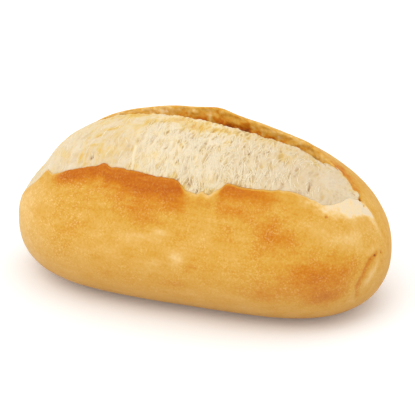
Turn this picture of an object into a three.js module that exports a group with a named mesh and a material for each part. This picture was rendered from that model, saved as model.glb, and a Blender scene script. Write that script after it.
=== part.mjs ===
// A crusty bread roll, baked with one long score along its top.
//
// Millimetres. +X runs along the roll, -Y is the side of the score's lower lip,
// +Z is up, and the origin is the middle of the flat foot that the roll rests on.
// The roll is one solid: a loft of closed sections from tip to tip. Going round,
// each section is the outer crust, the ear's inner wall, the risen crumb that fills
// the score, and the step up to the lower lip.
import * as THREE from 'three';

// Overall size
const LENGTH = 140;
const WIDTH = 75;
const CROWN = 62.8;         // height of the body, without the ear
const WAIST = 20.6;         // height of the widest line
const SINK = 0.07;          // share of the waist's height that the foot is pressed flat by

// Fullness of the body's outlines, on the left and the right half: a higher power keeps
// the size for longer towards the tip, and a higher root makes the tip blunter
const PLAN_OUTLINE = {
  left: { power: 3.2, root: 1.96 },
  right: { power: 3.7, root: 1.97 },
};
const CROWN_OUTLINE = {
  left: { power: 2.48, root: 1.56 },
  right: { power: 2.0, root: 1.91 },
};
const BELLY_OUTLINE = {
  left: { power: 4.6, root: 2.64 },
  right: { power: 5.6, root: 2.78 },
};

// Roundness of a section: 2 is an ellipse, and more is squarer
const FRONT_ROUNDNESS = 2.15;
const BACK_ROUNDNESS = 1.95;
const LOWER_ROUNDNESS = 2.67;

// The body is flatter above the lip at its left end
const SHOULDER_DEPTH = 2.2;
const SHOULDER_AT = -62;
const SHOULDER_HALF_LENGTH = 6.5;
const SHOULDER_FRONT = [42, 58];    // degrees between which it begins, up the front
const SHOULDER_BACK = [150, 115];   // and up the back

// The score as millimetres along the roll and degrees round the section, where 0 is the
// front of the waist and 90 the top: the edge of the lower lip, the edge of the ear, and
// the crest from which the crumb falls into the groove beside the ear
const LIP_COURSE = [
  [-70, 46], [-62, 48], [-56, 50], [-49, 46.6], [-40, 48], [-28, 48.6], [-18, 46.2], [-6, 44.4],
  [10, 45], [20, 47.4], [28, 49], [36, 53.2], [41, 56.2], [50, 57.8],
  [53.2, 60.5], [55.6, 70], [57.6, 83], [59.4, 87], [70, 87],
];
const EAR_COURSE = [
  [-70, 112], [-60, 114.5], [-52, 114], [-43, 111.5], [-30, 108.5], [-18, 104.5], [-5, 102.5],
  [18, 102], [35, 100.5], [46, 98.5], [51, 96.5], [54.5, 92], [57.5, 88.5], [60, 88], [70, 88],
];
const CREST_COURSE = [
  [-70, 108], [-52, 108], [-44, 105], [-38, 102], [-30, 95], [-22, 91.5], [-10, 91.5], [0, 89],
  [10, 86.8], [24, 87], [31, 89], [37, 92], [44, 96], [70, 96],
];

// Millimetres along the roll, and how far the ear stands proud of the body there
const EAR_LIFT = [
  [-70, 0], [-56, 0.2], [-48, 0.9], [-40, 1.4], [-24, 1.5], [-15, 2.3], [-5, 2.7], [4.5, 3.8],
  [9, 2.3], [14, 1.5], [24, 1.1], [31, 1.2], [37, 1.9], [41, 1.8], [46, 0.7], [50, 0], [70, 0],
];
// Millimetres along the roll, and how deep the groove beside the ear is there
const GROOVE_DEPTH = [
  [-70, 0], [-56, 0.3], [-44, 1.6], [-30, 3], [-18, 4], [-8, 5.5], [4, 7], [30, 7], [38, 5],
  [42.5, 2], [46, 0.3], [70, 0],
];
const COURSE_BLUR = 3.5;            // half the length over which a course's corners are eased
const BLUR_SHARES = [-0.75, -0.5, -0.25, 0, 0.25, 0.5, 0.75];   // where it is looked up in that

// Tears of the lower lip: middle and half width along the roll, drop in degrees, sharpness
const TEARS = [
  { at: 9.4, half: 7.2, drop: 6.3, sharpness: 4 },
  { at: -53.5, half: 2.6, drop: -4.8, sharpness: 2 },
];

const LEFT_CLOSING = { from: -65, to: -68.3, angle: 88 };
const SCORE_OPENS = [-62, -52];     // the score sinks into the body between these
const SCORE_ENDS = [44, 54];        // and comes flush again between these
const RIM_ANGLE = 2.0;              // thickness of the lip and of the ear
const STEP_ANGLE = 1.6;             // run of the step behind the lip
const WALL_ANGLE = 4.5;             // run of the ear's inner wall
const RUN_SHARE = 0.12;             // most of the score's width that one of these may take
const CREST_GAP = 2;                // fewest degrees from the crest to the groove
const STEP_DEPTH = 1.3;
const STEP_START = 0.72;            // share of the crumb's width at which it dips to the step
const LIP_FLARE = 0.6;              // how far the lip's outer edge stands proud
const RIM_FLARE = 0.25;             // and its inner edge
const FLARE_ANGLE = 5;
const CRUMB_BULGE = 0.5;
const EAR_FLICK = 20;               // degrees of back crust that curl up into the ear
const DEEPEST_SHARE = 0.9;          // most of its way to the middle that a point is pushed in
const STEEPEST_FOOT = 80;           // limit for the angle at which the sides meet the foot

// The fold in the front of the crust near the right tip, which leans out as it rises
const FOLD_TOP = 26;
const FOLD_BOTTOM = 11;
const FOLD_FADE = 3;        // half the height over which it fades out at its ends
const FOLD_FROM_TIP = 6.0;
const FOLD_LEAN = 0.05;
const FOLD_CURVE = 0.012;
const FOLD_DEPTH = 0.8;
const FOLD_HALF_WIDTH = 1.8;

// Mesh density
const STATIONS = 78;
const CRUST_SHARES = [8, 7, 5, 6, 9];   // points from the lip to the waist, foot, foot, waist, ear
const WALL_POINTS = 4;
const CRUMB_SHARES = [5, 12];           // points from the groove to the crest and to the lip

const HALF_LENGTH = LENGTH / 2;
const CRUST_COLOUR = 0xdda043;

function smoothRamp(from, to, value) {
  return THREE.MathUtils.smoothstep((value - from) / (to - from), 0, 1);
}

function hump(value, centre, halfWidth, sharpness = 2) {
  return Math.exp(-(Math.abs((value - centre) / halfWidth) ** sharpness));
}

function signedPower(value, exponent) {
  return Math.sign(value) * Math.abs(value) ** exponent;
}

// Value of a course at x, on the straight runs between its knots
function alongKnots(knots, x) {
  const next = Math.max(1, knots.findIndex(([at]) => at >= x));
  const [x0, value0] = knots[next - 1];
  const [x1, value1] = knots[next];
  return THREE.MathUtils.lerp(value0, value1, THREE.MathUtils.clamp((x - x0) / (x1 - x0), 0, 1));
}

// Value of a course at x, with its corners eased
function course(knots, x) {
  let sum = 0;
  let total = 0;
  for (const share of BLUR_SHARES) {
    const weight = 1 - share ** 2;
    const at = THREE.MathUtils.clamp(x + share * COURSE_BLUR, -HALF_LENGTH, HALF_LENGTH);
    sum += weight * alongKnots(knots, at);
    total += weight;
  }
  return sum / total;
}

// Share of the full size that an outline keeps at a station (-1 to 1 along the roll)
function outlineShare(station, outline) {
  const { power, root } = station < 0 ? outline.left : outline.right;
  return (1 - Math.abs(station) ** power) ** (1 / root);
}

// Moves a point of the section towards the middle of the loaf
function pushIn(point, depth) {
  const toCore = Math.hypot(point.y, point.z - WAIST);
  const share = Math.min(DEEPEST_SHARE, depth / toCore);
  return {
    y: point.y * (1 - share),
    z: point.z - (point.z - WAIST) * share,
  };
}

function sectionRoundness(angle) {
  if (Math.sin(angle) < 0) {
    return LOWER_ROUNDNESS;
  }
  return Math.cos(angle) > 0 ? FRONT_ROUNDNESS : BACK_ROUNDNESS;
}

// Point of the smooth body, before the foot is pressed flat
function bodyPoint(station, degrees) {
  const angle = THREE.MathUtils.degToRad(degrees);
  const halfWidth = (WIDTH / 2) * outlineShare(station, PLAN_OUTLINE);
  const power = 2 / sectionRoundness(angle);
  const reach = Math.sin(angle) >= 0
    ? (CROWN - WAIST) * outlineShare(station, CROWN_OUTLINE)
    : WAIST * (1 + SINK) * outlineShare(station, BELLY_OUTLINE);
  const point = {
    y: -halfWidth * signedPower(Math.cos(angle), power),
    z: WAIST + reach * signedPower(Math.sin(angle), power),
  };
  const turned = THREE.MathUtils.euclideanModulo(degrees + 90, 360) - 90;
  const shoulder = SHOULDER_DEPTH * hump(station * HALF_LENGTH, SHOULDER_AT, SHOULDER_HALF_LENGTH)
    * smoothRamp(...SHOULDER_FRONT, turned) * smoothRamp(...SHOULDER_BACK, turned);
  return pushIn(point, shoulder);
}

// Angle below the waist at which the underside meets the foot's plane
function footAngle(station) {
  const reachShare = (1 + SINK) * outlineShare(station, BELLY_OUTLINE);
  const sine = Math.min(1, 1 / reachShare) ** (LOWER_ROUNDNESS / 2);
  return Math.min(STEEPEST_FOOT, THREE.MathUtils.radToDeg(Math.asin(sine)));
}

// The two edges of the score run together at the left tip
function closedAngle(x, angle, offset) {
  const closing = smoothRamp(LEFT_CLOSING.from, LEFT_CLOSING.to, x);
  return THREE.MathUtils.lerp(angle, LEFT_CLOSING.angle + offset, closing);
}

function lipAngle(station) {
  const x = station * HALF_LENGTH;
  let angle = course(LIP_COURSE, x);
  for (const tear of TEARS) {
    angle -= tear.drop * hump(x, tear.at, tear.half, tear.sharpness);
  }
  return closedAngle(x, angle, -1);
}

function earAngle(station) {
  const x = station * HALF_LENGTH;
  return closedAngle(x, course(EAR_COURSE, x), 1);
}

// How far the score is sunk into the body: 0 at its flush ends and 1 along its middle
function openness(station) {
  const x = station * HALF_LENGTH;
  return smoothRamp(...SCORE_OPENS, x) * (1 - smoothRamp(...SCORE_ENDS, x));
}

function foldDepth(x, point) {
  if (point.y > 0) {
    return 0;
  }
  const above = point.z - FOLD_BOTTOM;
  const foldX = HALF_LENGTH - FOLD_FROM_TIP + FOLD_LEAN * above + FOLD_CURVE * above ** 2;
  const alongFold = smoothRamp(FOLD_BOTTOM - FOLD_FADE, FOLD_BOTTOM + FOLD_FADE, point.z)
    * smoothRamp(FOLD_TOP + FOLD_FADE, FOLD_TOP - FOLD_FADE, point.z);
  return FOLD_DEPTH * alongFold * hump(x, foldX, FOLD_HALF_WIDTH);
}

// Angles from the first corner to the last, with a number of points on each run
function anglesBetween(corners, counts) {
  const angles = [];
  corners.slice(1).forEach((end, index) => {
    for (let step = 0; step < counts[index]; step += 1) {
      angles.push(THREE.MathUtils.lerp(corners[index], end, step / counts[index]));
    }
  });
  return [...angles, corners.at(-1)];
}

// Outer crust, from the lower lip round the front, the foot and the back to the ear
function crustPoints(station) {
  const ear = earAngle(station);
  const foot = footAngle(station);
  const corners = [lipAngle(station), 0, -foot, foot - 180, -180, ear - 360];
  return anglesBetween(corners, CRUST_SHARES).map((degrees) => crustPoint(station, degrees));
}

function crustPoint(station, degrees) {
  const x = station * HALF_LENGTH;
  const point = bodyPoint(station, degrees);
  const toEar = earAngle(station) - 360 - degrees;
  const curl = smoothRamp(-EAR_FLICK, 0, toEar) ** 2;
  const flare = LIP_FLARE * openness(station) * hump(degrees, lipAngle(station), FLARE_ANGLE);
  const shaped = pushIn(point, foldDepth(x, point) - flare);
  shaped.z = Math.max(0, shaped.z + course(EAR_LIFT, x) * curl);
  return shaped;
}

// A run of the score's section, which narrows with the score towards its ends
function runWithin(station, angle) {
  return Math.min(angle, RUN_SHARE * (earAngle(station) - lipAngle(station)));
}

function wallFootAngle(station) {
  return earAngle(station) - runWithin(station, RIM_ANGLE) - runWithin(station, WALL_ANGLE);
}

// Inner wall of the ear, from its edge down to the bottom of the groove
function wallPoints(station) {
  const x = station * HALF_LENGTH;
  const top = earAngle(station) - runWithin(station, RIM_ANGLE);
  const bottom = wallFootAngle(station);
  const points = [];
  for (let step = 0; step < WALL_POINTS; step += 1) {
    const share = step / WALL_POINTS;
    const point = bodyPoint(station, THREE.MathUtils.lerp(top, bottom, share));
    point.z += course(EAR_LIFT, x) * (1 - share) - course(GROOVE_DEPTH, x) * share;
    points.push(point);
  }
  return points;
}

// Crumb that has risen in the score, from the groove to the foot of the front step
function crumbPoints(station) {
  const x = station * HALF_LENGTH;
  const groove = wallFootAngle(station);
  const stepFoot = lipAngle(station) + runWithin(station, RIM_ANGLE) + runWithin(station, STEP_ANGLE);
  const crest = Math.max(stepFoot, Math.min(course(CREST_COURSE, x), groove - CREST_GAP));
  return anglesBetween([groove, crest, stepFoot], CRUMB_SHARES).map((degrees) => {
    const share = (groove - degrees) / (groove - stepFoot);
    const bulge = CRUMB_BULGE * Math.sin(Math.PI * share);
    const sunk = STEP_DEPTH * smoothRamp(STEP_START, 1, share) - bulge;
    const pushed = pushIn(bodyPoint(station, degrees), openness(station) * sunk);
    pushed.z -= course(GROOVE_DEPTH, x) * smoothRamp(crest, groove, degrees);
    return pushed;
  });
}

// Inner edge of the lower lip, level with its outer edge
function lipRimPoint(station) {
  const point = bodyPoint(station, lipAngle(station) + runWithin(station, RIM_ANGLE));
  return pushIn(point, -RIM_FLARE * openness(station));
}

function sectionPoints(station) {
  return [
    ...crustPoints(station),
    ...wallPoints(station),
    ...crumbPoints(station),
    lipRimPoint(station),
  ];
}

// Stations crowd towards the tips, where the outline turns fastest
function stationAt(index) {
  return Math.sin((index / STATIONS - 0.5) * Math.PI);
}

function loftGeometry() {
  const positions = [-HALF_LENGTH, 0, WAIST];
  let ringSize = 0;
  for (let index = 1; index < STATIONS; index += 1) {
    const station = stationAt(index);
    const section = sectionPoints(station);
    ringSize = section.length;
    for (const point of section) {
      positions.push(station * HALF_LENGTH, point.y, point.z);
    }
  }
  positions.push(HALF_LENGTH, 0, WAIST);

  const lastTip = positions.length / 3 - 1;
  const lastRing = lastTip - ringSize;
  const triangles = [];
  for (let index = 0; index < ringSize; index += 1) {
    const next = (index + 1) % ringSize;
    triangles.push(0, 1 + next, 1 + index);
    triangles.push(lastTip, lastRing + index, lastRing + next);
    for (let ring = 1; ring < lastRing; ring += ringSize) {
      const ahead = ring + ringSize;
      triangles.push(ring + index, ring + next, ahead + next);
      triangles.push(ring + index, ahead + next, ahead + index);
    }
  }

  const geometry = new THREE.BufferGeometry();
  geometry.setAttribute('position', new THREE.Float32BufferAttribute(positions, 3));
  geometry.setIndex(triangles);
  return geometry;
}

// The ear and the flare widen the loft unevenly, so it is centred again over its foot
function centredOverFoot(geometry) {
  geometry.computeBoundingBox();
  const middle = geometry.boundingBox.getCenter(new THREE.Vector3());
  geometry.translate(-middle.x, -middle.y, -geometry.boundingBox.min.z);
  geometry.computeVertexNormals();
  return geometry;
}

function makeRoll() {
  const material = new THREE.MeshStandardMaterial({
    color: CRUST_COLOUR,
    roughness: 0.62,
    metalness: 0,
  });
  const roll = new THREE.Mesh(centredOverFoot(loftGeometry()), material);
  roll.name = 'roll';
  return roll;
}

const breadRoll = new THREE.Group();
breadRoll.add(makeRoll());

export default breadRoll;
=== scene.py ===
"""A crusty bread roll with one long score: its crust, the risen crumb and the crumb's threads.

The shapes are worked out in millimetres, in the frame of the CAD roll: +X along the roll,
-Y the side of the score's lower lip, +Z up. Going round a section, 0 degrees is the front
of the waist, 90 the crown and 180 the back of the waist.
"""
import math

import bmesh
import bpy
import numpy as np
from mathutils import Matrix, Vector, noise


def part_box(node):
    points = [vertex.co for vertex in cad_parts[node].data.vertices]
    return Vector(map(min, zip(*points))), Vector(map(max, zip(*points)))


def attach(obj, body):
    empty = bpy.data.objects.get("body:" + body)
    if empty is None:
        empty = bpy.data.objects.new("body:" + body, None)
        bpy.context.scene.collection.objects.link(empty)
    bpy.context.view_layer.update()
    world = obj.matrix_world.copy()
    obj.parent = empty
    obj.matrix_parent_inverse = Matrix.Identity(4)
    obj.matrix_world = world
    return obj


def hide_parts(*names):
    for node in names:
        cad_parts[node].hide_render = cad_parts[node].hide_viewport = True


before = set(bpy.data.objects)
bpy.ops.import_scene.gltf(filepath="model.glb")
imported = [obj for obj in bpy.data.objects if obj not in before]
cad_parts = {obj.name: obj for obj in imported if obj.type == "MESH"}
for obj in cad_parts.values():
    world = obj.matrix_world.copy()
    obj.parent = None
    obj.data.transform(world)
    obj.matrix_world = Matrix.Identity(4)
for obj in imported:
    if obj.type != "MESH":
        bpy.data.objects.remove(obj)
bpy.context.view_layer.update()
ROLL_LOW, ROLL_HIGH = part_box("roll")

# Overall size, from the frame
MM = 0.001
LENGTH, WIDTH, HEIGHT = ((high - low) / MM for low, high in zip(ROLL_LOW, ROLL_HIGH))
HALF_LENGTH = LENGTH / 2
EAR_PEAK = 2.83  # height of the ear's peak above the body
CROWN = HEIGHT - EAR_PEAK
WAIST = 20.6  # height of the widest line
SINK = 0.07  # share of the waist's height that the foot is pressed flat by
SKIN = 0.3  # the body is drawn in by this, which leaves room for its relief

# Fullness of the body's outlines on the left and the right half: power, then root
PLAN_OUTLINE = ((3.2, 1.96), (3.7, 1.97))
CROWN_OUTLINE = ((2.48, 1.56), (2.0, 1.91))
BELLY_OUTLINE = ((4.6, 2.64), (5.6, 2.78))
FRONT_ROUNDNESS = 2.15
BACK_ROUNDNESS = 1.95
LOWER_ROUNDNESS = 2.67
ARC_PER_DEGREE = 0.70  # mm along the surface for each degree, near the crown

# The body is flatter above the lip at its left end
SHOULDER_DEPTH = 2.2
SHOULDER_AT = -62
SHOULDER_HALF_LENGTH = 6.5

# The score as (mm along the roll, degrees): the edge of the lower lip, the edge of the ear,
# and the crest from which the crumb falls into the groove beside the ear
LIP_COURSE = (
    (-70, 46), (-62, 48), (-56, 50), (-49, 46.6), (-40, 48), (-28, 48.6), (-18, 46.2),
    (-6, 44.4), (10, 45), (20, 47.4), (28, 49), (36, 53.2), (41, 56.2), (50, 57.8),
    (53.2, 60.5), (55.6, 70), (57.6, 83), (59.4, 87), (70, 87),
)
EAR_COURSE = (
    (-70, 112), (-60, 114.5), (-52, 114), (-43, 111.5), (-30, 108.5), (-18, 104.5),
    (-5, 102.5), (18, 102), (35, 100.5), (46, 98.5), (51, 96.5), (54.5, 92), (57.5, 88.5),
    (60, 88), (70, 88),
)
CREST_COURSE = (
    (-70, 108), (-52, 108), (-44, 105), (-38, 102), (-30, 95), (-22, 91.5), (-10, 91.5),
    (0, 89), (10, 86.8), (24, 87), (31, 89), (37, 92), (44, 96), (70, 96),
)
# Millimetres along the roll, and how far the ear stands proud or how deep the groove is
EAR_LIFT = (
    (-70, 0), (-56, 0.2), (-48, 0.9), (-40, 1.4), (-24, 1.5), (-15, 2.3), (-5, 2.7),
    (4.5, 3.8), (9, 2.3), (14, 1.5), (24, 1.1), (31, 1.2), (37, 1.9), (41, 1.8), (46, 0.7),
    (50, 0), (70, 0),
)
GROOVE_DEPTH = (
    (-70, 0), (-56, 0.3), (-44, 1.6), (-30, 3), (-18, 4), (-8, 5.5), (4, 7), (30, 7),
    (38, 5), (42.5, 2), (46, 0.3), (70, 0),
)
COURSE_BLUR = 3.5  # half the length over which a course's corners are eased

# Torn out of the lip or left standing: mm along the roll, half width, degrees, sharpness
LIP_TEARS = (
    (9.4, 7.2, -6.3, 4),
    (-53.5, 2.6, 4.8, 2),
    (-28.0, 1.8, 1.8, 2),
    (19.0, 1.6, 1.2, 2),
)
LEFT_CLOSING = (-65, -68.3)  # the score's edges run together between these
LEFT_CLOSED_ANGLE = 88
SCORE_SUNK = (-62, -52, 44, 54)  # stretch along which the score is sunk into the body
SCORE_SHOWN = (-68, -65, 58, 60)  # stretch with any score at all
RAGGED_END = 60  # the edges are smooth past this
LARGEST_RUN = 0.12  # share of the score that its rim, wall or step may take


def ramp(start, end, value):
    """0 before start, 1 past end, and smooth between."""
    share = np.clip((value - start) / (end - start), 0, 1)
    return share * share * (3 - 2 * share)


def hump(value, centre, half_width, sharpness=2):
    """1 at the centre, and 0.37 at half_width to either side of it."""
    return np.exp(-np.abs((value - centre) / half_width) ** sharpness)


def stretch(x, places):
    """1 along a stretch of the roll, which comes in, is full, fades and is gone at its places."""
    come_in, full, fade, gone = places
    return ramp(come_in, full, x) * ramp(gone, fade, x)


def signed_power(value, exponent):
    """A power of a value's size, with the value's own sign."""
    return np.sign(value) * np.abs(value) ** exponent


def course(knots, x):
    """Value of a course at x, with its corners eased."""
    places, values = np.array(knots, dtype=float).T
    shares = np.linspace(-0.75, 0.75, 7)
    weights = 1 - shares ** 2
    runs = [np.interp(x + share * COURSE_BLUR, places, values) for share in shares]
    return sum(weight * run for weight, run in zip(weights, runs)) / weights.sum()


def sample(points, scale, seed=0.0, octaves=1):
    """Smooth noise from about -1 to 1 at points (..., 3), with features about scale wide."""
    scaled = (np.asarray(points, dtype=float) / scale + seed).reshape(-1, 3)
    if octaves == 1:
        values = [noise.noise(place) for place in scaled.tolist()]
    else:
        values = [noise.fractal(place, 1.0, 2.0, octaves) for place in scaled.tolist()]
    return np.array(values).reshape(np.shape(points)[:-1])


def flat_points(across, up, layer=0.0):
    """Points of a surface that is laid out flat, for noise."""
    return np.stack(np.broadcast_arrays(across, up, layer), axis=-1)


def sample_line(x, scale, seed):
    """Noise along the roll alone."""
    return sample(flat_points(x, 0.0), scale, seed)


def segment_gap(across, up, start, end):
    """Share of the way along a line segment, and distance from it."""
    run = np.subtract(end, start)
    along = np.clip(((across - start[0]) * run[0] + (up - start[1]) * run[1]) / (run @ run), 0, 1)
    return along, np.hypot(across - start[0] - along * run[0], up - start[1] - along * run[1])


def stroke(across, up, line, half_width):
    """1 along a short line (across, up, across, up), fading to 0 beside it and at its ends."""
    along, gap = segment_gap(across, up, line[:2], line[2:])
    return hump(gap, 0, half_width) * (0.45 + 0.55 * np.sin(math.pi * along))


def unit(vectors):
    """Vectors of length 1 in the same directions."""
    return vectors / np.maximum(np.linalg.norm(vectors, axis=-1, keepdims=True), 1e-9)


# ---- the body's form


def outline_share(station, outline):
    """Share of an outline's full size that is left at a station, from -1 to 1 along the roll."""
    size = np.clip(np.abs(station), 0, 1)
    left, right = ((1 - size ** power) ** (1 / root) for power, root in outline)
    return np.where(station < 0, left, right)


def push_in(points, depth):
    """Moves points towards the line along the middle of the loaf."""
    core = points * (1, 0, 0) + (0, 0, WAIST)
    away = points - core
    reach = np.maximum(np.linalg.norm(away, axis=-1, keepdims=True), 1e-6)
    return points - away / reach * np.minimum(depth[..., None], 0.9 * reach)


def turned(degrees):
    """The same angle, counted from straight down up the front, over the crown and down the back."""
    return (degrees + 90) % 360 - 90


def body_point(x, degrees):
    """Points of the smooth body as (..., 3), before its foot is pressed flat."""
    x, degrees = np.broadcast_arrays(x, degrees)
    station = x / HALF_LENGTH
    angle = np.radians(degrees)
    upper = np.sin(angle) >= 0
    above = np.where(np.cos(angle) > 0, 2 / FRONT_ROUNDNESS, 2 / BACK_ROUNDNESS)
    roundness = np.where(upper, above, 2 / LOWER_ROUNDNESS)
    half_width = (WIDTH / 2 - SKIN) * outline_share(station, PLAN_OUTLINE)
    rise = (CROWN - SKIN - WAIST) * outline_share(station, CROWN_OUTLINE)
    fall = WAIST * (1 + SINK) * outline_share(station, BELLY_OUTLINE)
    y = -half_width * signed_power(np.cos(angle), roundness)
    z = WAIST + np.where(upper, rise, fall) * signed_power(np.sin(angle), roundness)
    points = np.stack([x * (1 - SKIN / HALF_LENGTH), y, z], axis=-1)
    shoulder = hump(x, SHOULDER_AT, SHOULDER_HALF_LENGTH)
    shoulder = shoulder * ramp(42, 58, turned(degrees)) * ramp(150, 115, turned(degrees))
    return push_in(points, SHOULDER_DEPTH * shoulder)


def foot_angle(x):
    """Angle below the waist at which the underside meets the plane that it rests on."""
    reach = np.maximum((1 + SINK) * outline_share(x / HALF_LENGTH, BELLY_OUTLINE), 1e-6)
    sine = np.minimum(1, 1 / reach) ** (LOWER_ROUNDNESS / 2)
    return np.minimum(80, np.degrees(np.arcsin(sine)))


# ---- the score


def closed_angle(x, angle, offset):
    """The angle of one of the score's edges, with the edges run together at the left end."""
    closing = ramp(*LEFT_CLOSING, x)
    return angle + (LEFT_CLOSED_ANGLE + offset - angle) * closing


def lip_angle(x):
    """The torn edge of the lower lip."""
    x = np.asarray(x, dtype=float)
    angle = course(LIP_COURSE, x)
    for centre, half_width, degrees, sharpness in LIP_TEARS:
        angle = angle + degrees * hump(x, centre, half_width, sharpness)
    ragged = 0.7 * sample_line(x, 4.5, 3.7) + 0.45 * sample_line(x, 1.6, 8.1)
    torn = 1.1 * sample_line(x, 2.3, 2.9) + 0.6 * sample_line(x, 0.8, 12.9)
    ragged = ragged + torn * hump(x, 9.5, 6.5, 6)
    return closed_angle(x, angle + ragged * ramp(RAGGED_END, 56, x), -1)


def ear_angle(x):
    """The edge of the ear, at the back of the score."""
    x = np.asarray(x, dtype=float)
    angle = course(EAR_COURSE, x)
    ragged = 0.5 * sample_line(x, 7.0, 21.3) + 0.3 * sample_line(x, 2.1, 5.5)
    ragged = ragged + 2.2 * sample_line(x, 2.6, 15.1) * ramp(45, 50, x)
    return closed_angle(x, angle + ragged * ramp(RAGGED_END, 57, x), 1)


def openness(x):
    """How far the score is sunk into the body: 0 at its flush ends and 1 along its middle."""
    return stretch(x, SCORE_SUNK)


def presence(x):
    """1 where there is a score at all, flush or sunk."""
    return stretch(x, SCORE_SHOWN)


def run_within(x, angle):
    """An angle, held to a share of the gap between the lip and the ear."""
    return np.minimum(angle, LARGEST_RUN * (ear_angle(x) - lip_angle(x)))


# ---- the crust's mesh

CRUST_STATIONS = 362
CRUST_CROWDING = 0.45  # how much closer together the stations are at both ends
SKIN_COUNTS = (64, 34, 14, 34, 70)  # points from the lip to the waist, foot, foot, waist, ear

# Points round each ring in the score, in the order of its zones after the outer skin
RIM_COUNT = 6
WALL_COUNT = 22
FLOOR_COUNT = 20
STEP_COUNT = 6
SKIN_ZONE, RIM_ZONE, WALL_ZONE, FLOOR_ZONE = range(4)

RIM_WIDTH = 2.0  # degrees
WALL_WIDTH = 4.5  # degrees
STEP_WIDTH = 3.0  # degrees
RIM_FALL = 0.12  # share of the ear's lift that is lost across its rim
RIM_SWELL = 0.3
CHANNEL_DEPTH = 9.0
FLUSH_DEPTH = 0.9  # depth of the channel under the flush crumb
BURIED_DEPTH = 2.5  # the wall's foot is this far below the crumb beside it
LIP_STANDS = 0.5  # the step stands proud by this as it meets the lip
EAR_FLICK = 20  # degrees of back crust that curl up into the ear

# The fold across the right end, as (y, z) in the end view, and the pale lens inside it
FOLD_LINE = ((-18.0, 12.5), (-18.6, 17.0), (-15.6, 21.7), (-13.0, 24.8), (-9.0, 25.6))
LENS_LINE = (-8.0, 23.0, -16.6, 15.0)

# Small holes in the crust as (mm along the roll, degrees, radius, depth)
CRUST_PORES = (
    (59.7, 86.8, 0.62, 1.2),
    (60.7, 85.9, 0.35, 0.6),
    (61.5, 85.0, 0.45, 0.9),
    (52.9, 50.2, 0.40, 0.5),
    (69.2, 41.0, 0.42, 0.5),
    (68.2, 29.0, 0.35, 0.4),
)
# painted shade in the pores
PORE_SHADE = 0.55


def spans(corners, counts):
    """Angles that run from corner to corner, with the last corner left out."""
    parts = [
        np.linspace(start, end, count, endpoint=False, axis=-1)
        for start, end, count in zip(corners[:-1], corners[1:], counts)
    ]
    return np.concatenate(parts, axis=-1)


def crust_skin(x, degrees):
    """The outer crust at angles that run from the lip down, under and up the back to the ear."""
    points = body_point(x, degrees)
    from_lip = (lip_angle(x) - degrees) * ARC_PER_DEGREE
    flare = openness(x) * (0.6 * hump(from_lip, 1.6, 2.2) - 0.3 * hump(from_lip, 6.5, 3.0))
    points = push_in(points, -flare * (degrees > -90))
    curl = ramp(EAR_FLICK, 0, degrees + 360 - ear_angle(x)) ** 2
    points[..., 2] += course(EAR_LIFT, x) * curl
    return points


def shares(count):
    """Shares of a zone's width at its points, which leave out its start."""
    return np.linspace(0, 1, count + 1)[1:]


def zone_angles(start, end, count):
    """Angles across a zone of every ring, which leave out its start."""
    return np.linspace(start, end, count + 1, axis=-1)[:, 1:]


def crust_rim(x, degrees):
    """The ear's rounded rim."""
    share = shares(RIM_COUNT)
    points = body_point(x, degrees)
    swell = RIM_SWELL * openness(x) * np.sin(math.pi * share)
    points[..., 2] += course(EAR_LIFT, x) * (1 - RIM_FALL * share) + swell
    return points


def wall_depth(x):
    """Depth of the foot of the ear's inner wall."""
    return course(GROOVE_DEPTH, x) + BURIED_DEPTH * openness(x) + FLUSH_DEPTH * presence(x)


def channel_depth(x):
    """Depth of the channel that the crumb lies in."""
    return CHANNEL_DEPTH * openness(x) + FLUSH_DEPTH * presence(x)


def crust_wall(x, degrees):
    """The ear's inner wall."""
    share = shares(WALL_COUNT)
    points = body_point(x, degrees)
    lift = (1 - RIM_FALL) * course(EAR_LIFT, x)
    points[..., 2] += lift * (1 - share) - wall_depth(x) * share
    return points


def crust_floor(x, degrees):
    """The channel's floor, under the crumb."""
    deepening = ramp(0, 0.3, shares(FLOOR_COUNT))
    depth = wall_depth(x) + (channel_depth(x) - wall_depth(x)) * deepening
    return push_in(body_point(x, degrees), depth)


def crust_step(x, degrees):
    """The step from the channel's floor up to the lip."""
    share = 1 - shares(STEP_COUNT)[:-1]
    depth = channel_depth(x) * ramp(0.2, 1, share) - LIP_STANDS * openness(x) * (1 - share)
    return push_in(body_point(x, degrees), depth)


def crust_rings():
    """Rings of points round the crust, with the score cut into it as a channel."""
    turn = np.linspace(-0.5, 0.5, CRUST_STATIONS + 2)[1:-1] * math.pi
    crowded = CRUST_CROWDING * np.sin(turn) + (1 - CRUST_CROWDING) * turn / (math.pi / 2)
    x = crowded * HALF_LENGTH
    column = x[:, None]
    lip, ear, foot = lip_angle(x), ear_angle(x), foot_angle(x)
    rim_end = ear - run_within(x, RIM_WIDTH)
    wall_end = rim_end - run_within(x, WALL_WIDTH)
    step_start = lip + run_within(x, STEP_WIDTH)

    corners = (lip, 0 * lip, -foot, foot - 180, 0 * lip - 180, ear - 360)
    skin = np.concatenate([spans(corners, SKIN_COUNTS), (ear - 360)[:, None]], axis=1)
    rim = zone_angles(ear, rim_end, RIM_COUNT)
    wall = zone_angles(rim_end, wall_end, WALL_COUNT)
    floor = zone_angles(wall_end, step_start, FLOOR_COUNT)
    step = zone_angles(step_start, lip, STEP_COUNT)[:, :-1]
    zone_points = [
        crust_skin(column, skin),
        crust_rim(column, rim),
        crust_wall(column, wall),
        crust_floor(column, floor),
        crust_step(column, step),
    ]
    angles = np.concatenate([skin, rim - 360, wall - 360, floor - 360, step], axis=1)
    zones = np.repeat(range(len(zone_points)), [points.shape[1] for points in zone_points])
    return x, np.concatenate(zone_points, axis=1), angles, zones


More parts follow.
